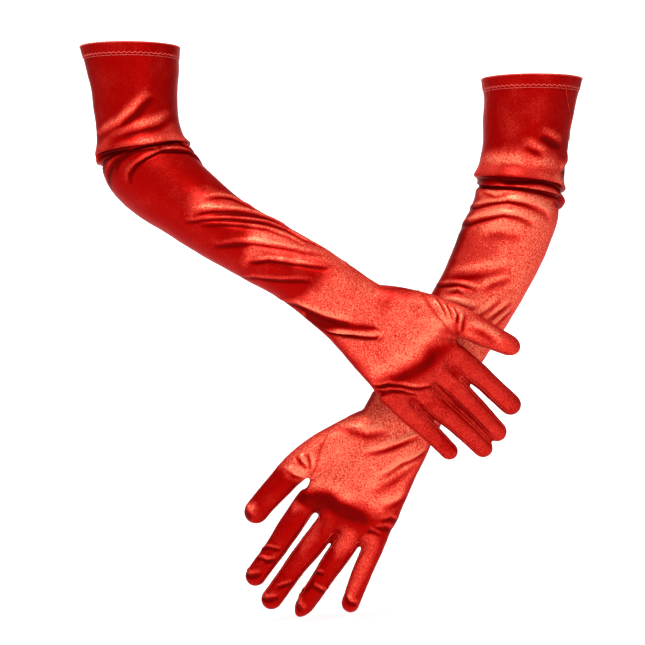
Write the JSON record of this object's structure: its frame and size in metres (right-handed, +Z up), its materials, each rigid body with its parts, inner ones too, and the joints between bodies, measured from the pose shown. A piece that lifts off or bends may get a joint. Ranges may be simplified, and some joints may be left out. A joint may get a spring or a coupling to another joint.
{
  "type": "opera gloves",
  "caption": "Pair of elbow-length stretch satin gloves worn on crossed arms, with turned hems, gathered elbows, bending wrists and curling fingers.",
  "frame": {"origin": "centre of the left glove's arm opening, in the plane of its rim", "axes": "+Z up, towards the upper arms; -Y the way that the backs of both hands face; +X from the right glove's cuff to the left glove's cuff"},
  "size_m": [0.4231, 0.1089, 0.4808],
  "materials": {
    "satin": "stretch satin, shiny side out",
    "thread": "polyester sewing thread"
  },
  "bodies": {
    "left_sleeve": {"left_cuff_hem": "satin", "left_hem_stitching": "thread", "left_upper_sleeve_back": "satin", "left_upper_sleeve_front": "satin"},
    "left_forearm": {"left_elbow_gathers": "satin", "left_forearm_back": "satin", "left_forearm_front": "satin"},
    "left_hand": {"left_wrist_sleeve": "satin", "left_hand_back": "satin", "left_hand_palm": "satin", "left_thumb_gusset": "satin"},
    "left_thumb": {"left_thumb_back": "satin", "left_thumb_front": "satin"},
    "left_index": {"left_index_back": "satin", "left_index_fourchette": "satin", "left_index_front": "satin"},
    "left_middle": {"left_middle_back": "satin", "left_middle_fourchette": "satin", "left_middle_front": "satin"},
    "left_ring": {"left_ring_back": "satin", "left_ring_fourchette": "satin", "left_ring_front": "satin"},
    "left_little": {"left_little_back": "satin", "left_little_fourchette": "satin", "left_little_front": "satin"},
    "right_sleeve": {"right_cuff_hem": "satin", "right_hem_stitching": "thread", "right_upper_sleeve_back": "satin", "right_upper_sleeve_front": "satin"},
    "right_forearm": {"right_elbow_gathers": "satin", "right_forearm_back": "satin", "right_forearm_front": "satin"},
    "right_hand": {"right_wrist_sleeve": "satin", "right_hand_back": "satin", "right_hand_palm": "satin", "right_thumb_gusset": "satin"},
    "right_thumb": {"right_thumb_back": "satin", "right_thumb_front": "satin"},
    "right_index": {"right_index_back": "satin", "right_index_fourchette": "satin", "right_index_front": "satin"},
    "right_middle": {"right_middle_back": "satin", "right_middle_fourchette": "satin", "right_middle_front": "satin"},
    "right_ring": {"right_ring_back": "satin", "right_ring_fourchette": "satin", "right_ring_front": "satin"},
    "right_little": {"right_little_back": "satin", "right_little_fourchette": "satin", "right_little_front": "satin"}
  },
  "joints": [
    {"name": "right_glove_lift", "type": "slide", "parent": "left_sleeve", "child": "right_sleeve", "axis": [0, -1, 0], "range_m": [0, 0.12]},
    {"name": "left_elbow", "type": "hinge", "parent": "left_sleeve", "child": "left_forearm", "pos_m": [-0.0105, 0.0045, -0.0958], "axis": [0, -1, 0], "range_deg": [0, 25], "deforming": ["left_elbow_gathers"]},
    {"name": "left_wrist", "type": "hinge", "parent": "left_forearm", "child": "left_hand", "pos_m": [-0.1046, -0.004, -0.2751], "axis": [0.8554, 0, -0.518], "range_deg": [-8, 60], "deforming": ["left_wrist_sleeve"]},
    {"name": "left_thumb_spread", "type": "hinge", "parent": "left_hand", "child": "left_thumb", "pos_m": [-0.1954, -0.004, -0.324], "axis": [0, 1, 0], "range_deg": [-10, 20]},
    {"name": "left_index_curl", "type": "hinge", "parent": "left_hand", "child": "left_index", "pos_m": [-0.1938, 0.001, -0.3619], "axis": [0.822, 0, -0.5696], "range_deg": [0, 60]},
    {"name": "left_middle_curl", "type": "hinge", "parent": "left_hand", "child": "left_middle", "pos_m": [-0.1739, 0.001, -0.3768], "axis": [0.8034, 0, -0.5954], "range_deg": [0, 60]},
    {"name": "left_ring_curl", "type": "hinge", "parent": "left_hand", "child": "left_ring", "pos_m": [-0.1515, 0.001, -0.3835], "axis": [0.8305, 0, -0.557], "range_deg": [0, 60]},
    {"name": "left_little_curl", "type": "hinge", "parent": "left_hand", "child": "left_little", "pos_m": [-0.1291, 0.001, -0.3826], "axis": [0.9296, 0, -0.3687], "range_deg": [0, 60]},
    {"name": "right_elbow", "type": "hinge", "parent": "right_sleeve", "child": "right_forearm", "pos_m": [-0.3245, -0.003, -0.0661], "axis": [0, 1, 0], "range_deg": [0, 25], "deforming": ["right_elbow_gathers"]},
    {"name": "right_wrist", "type": "hinge", "parent": "right_forearm", "child": "right_hand", "pos_m": [-0.1709, -0.0395, -0.1803], "axis": [0.5987, 0, 0.801], "range_deg": [-50, 0], "deforming": ["right_wrist_sleeve"]},
    {"name": "right_thumb_spread", "type": "hinge", "parent": "right_hand", "child": "right_thumb", "pos_m": [-0.0694, -0.0448, -0.2018], "axis": [0, -1, 0], "range_deg": [-10, 20]},
    {"name": "right_index_curl", "type": "hinge", "parent": "right_hand", "child": "right_index", "pos_m": [-0.066, -0.0456, -0.2324], "axis": [0.6694, 0, 0.7429], "range_deg": [-30, 0]},
    {"name": "right_middle_curl", "type": "hinge", "parent": "right_hand", "child": "right_middle", "pos_m": [-0.0734, -0.0456, -0.2523], "axis": [0.7197, 0, 0.6943], "range_deg": [-30, 0]},
    {"name": "right_ring_curl", "type": "hinge", "parent": "right_hand", "child": "right_ring", "pos_m": [-0.0917, -0.0456, -0.2648], "axis": [0.6658, 0, 0.7461], "range_deg": [-30, 0]},
    {"name": "right_little_curl", "type": "hinge", "parent": "right_hand", "child": "right_little", "pos_m": [-0.1133, -0.0456, -0.2714], "axis": [0.6873, 0, 0.7264], "range_deg": [-30, 0]}
  ]
}
